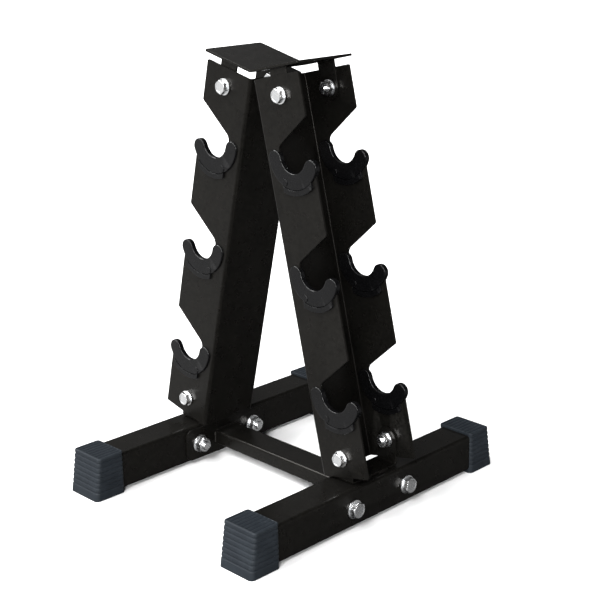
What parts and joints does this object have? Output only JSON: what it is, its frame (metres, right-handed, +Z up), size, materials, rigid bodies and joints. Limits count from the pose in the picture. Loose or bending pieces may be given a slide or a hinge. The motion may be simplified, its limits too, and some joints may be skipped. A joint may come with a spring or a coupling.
{
  "type": "dumbbell rack",
  "caption": "Compact A-frame dumbbell rack: leaning notched channels with plastic-lined saddles on a bolted tube base with foot caps.",
  "frame": {"origin": "on the floor at the middle of the rack, under the seam between the two uprights", "axes": "+X across the rack to the right-hand upright, +Y along the base tubes to the rear, +Z up"},
  "size_m": [0.3848, 0.446, 0.5691],
  "materials": {
    "frame_paint": "black powder coat, semi-gloss with a fine texture",
    "cap_rubber": "moulded dark grey rubber with fine horizontal ribs",
    "liner_plastic": "black moulded plastic, satin",
    "zinc_steel": "bright zinc-plated steel"
  },
  "bodies": {
    "root": {"left_base_tube": "frame_paint", "right_base_tube": "frame_paint", "cross_tube": "frame_paint", "left_end_plate": "frame_paint", "right_end_plate": "frame_paint", "left_upright": "frame_paint", "right_upright": "frame_paint", "top_plate": "frame_paint", "left_base_bracket": "frame_paint", "right_base_bracket": "frame_paint", "front_left_top_tab": "frame_paint", "rear_left_top_tab": "frame_paint", "front_right_top_tab": "frame_paint", "rear_right_top_tab": "frame_paint", "front_left_foot_cap": "cap_rubber", "rear_left_foot_cap": "cap_rubber", "front_right_foot_cap": "cap_rubber", "rear_right_foot_cap": "cap_rubber", "front_left_lower_liner": "liner_plastic", "front_left_middle_liner": "liner_plastic", "front_left_upper_liner": "liner_plastic", "rear_left_lower_liner": "liner_plastic", "rear_left_middle_liner": "liner_plastic", "rear_left_upper_liner": "liner_plastic", "front_right_lower_liner": "liner_plastic", "front_right_middle_liner": "liner_plastic", "front_right_upper_liner": "liner_plastic", "rear_right_lower_liner": "liner_plastic", "rear_right_middle_liner": "liner_plastic", "rear_right_upper_liner": "liner_plastic", "flange_bolts": "zinc_steel", "flange_washers": "zinc_steel", "flange_nuts": "zinc_steel", "cross_bolts": "zinc_steel", "cross_washers": "zinc_steel", "cross_nuts": "zinc_steel"}
  },
  "joints": []
}
